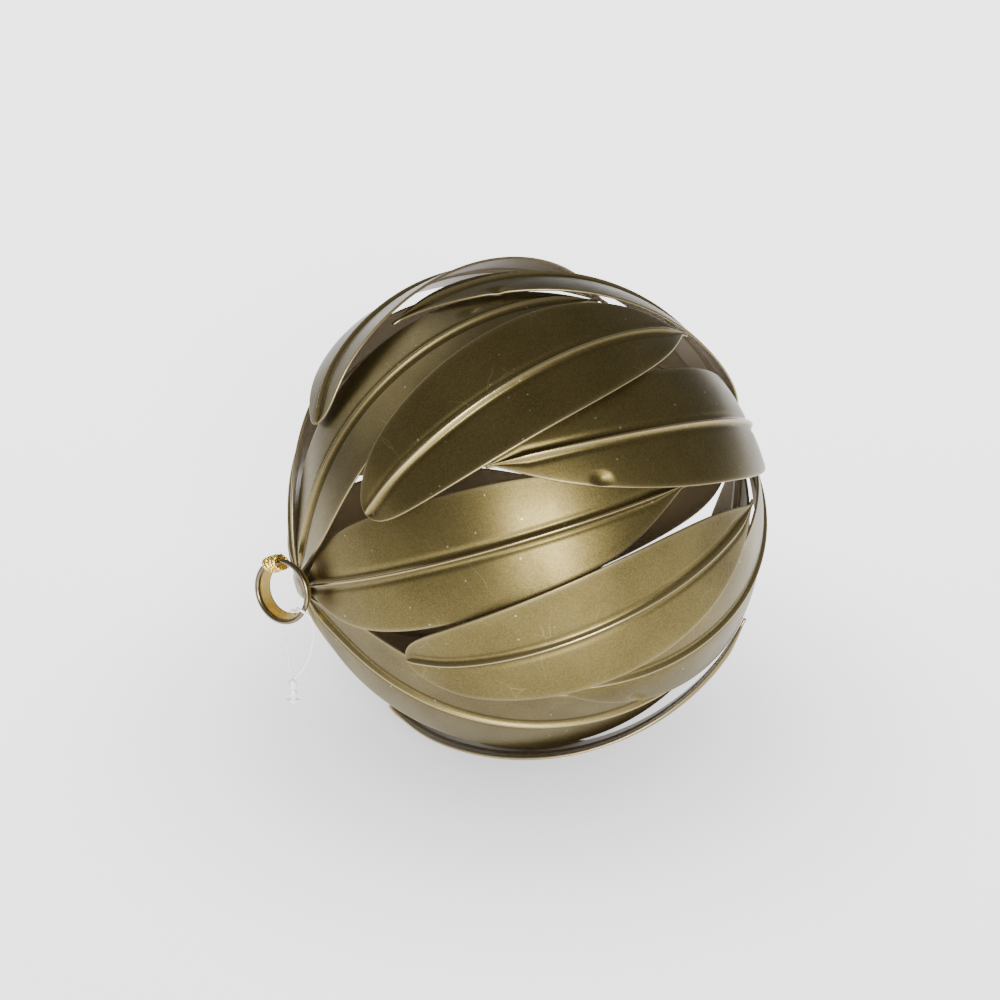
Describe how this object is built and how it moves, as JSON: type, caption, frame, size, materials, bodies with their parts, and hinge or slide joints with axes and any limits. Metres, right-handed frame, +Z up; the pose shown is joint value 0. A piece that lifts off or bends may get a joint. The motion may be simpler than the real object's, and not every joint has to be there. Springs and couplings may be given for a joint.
{
  "type": "ornament ball",
  "caption": "Hollow hanging ornament ball of overlapping stamped metal leaves, with a short ring at one pole for a hook and a clear nylon tag loop.",
  "frame": {"origin": "on the surface the ball lies on, under the middle of its box measured without the tag loop", "axes": "+Z up as it lies; the pole with the ring points towards -X, a little towards -Y and down; +X is the longest extent"},
  "size_m": [0.0931, 0.0922, 0.0891],
  "materials": {
    "leaf_lacquer": "satin metallic bronze-gold lacquer",
    "ring_gold": "polished gold",
    "tinsel_gold": "bright tinsel",
    "solder": "satin, lacquered over",
    "nylon": "clear"
  },
  "bodies": {
    "root": {"ring_end_leaf_1": "leaf_lacquer", "ring_end_leaf_2": "leaf_lacquer", "ring_end_leaf_3": "leaf_lacquer", "ring_end_leaf_4": "leaf_lacquer", "ring_end_leaf_5": "leaf_lacquer", "ring_end_leaf_6": "leaf_lacquer", "far_end_leaf_1": "leaf_lacquer", "far_end_leaf_2": "leaf_lacquer", "far_end_leaf_3": "leaf_lacquer", "far_end_leaf_4": "leaf_lacquer", "far_end_leaf_5": "leaf_lacquer", "far_end_leaf_6": "leaf_lacquer", "outer_leaf_1": "leaf_lacquer", "outer_leaf_2": "leaf_lacquer", "outer_leaf_3": "leaf_lacquer", "outer_leaf_4": "leaf_lacquer", "outer_leaf_5": "leaf_lacquer", "outer_leaf_6": "leaf_lacquer", "hanging_ring": "ring_gold", "tinsel_wrap": "tinsel_gold", "ring_solder": "solder", "far_end_solder": "solder", "tag_loop": "nylon", "tag_lock": "nylon"}
  },
  "joints": []
}
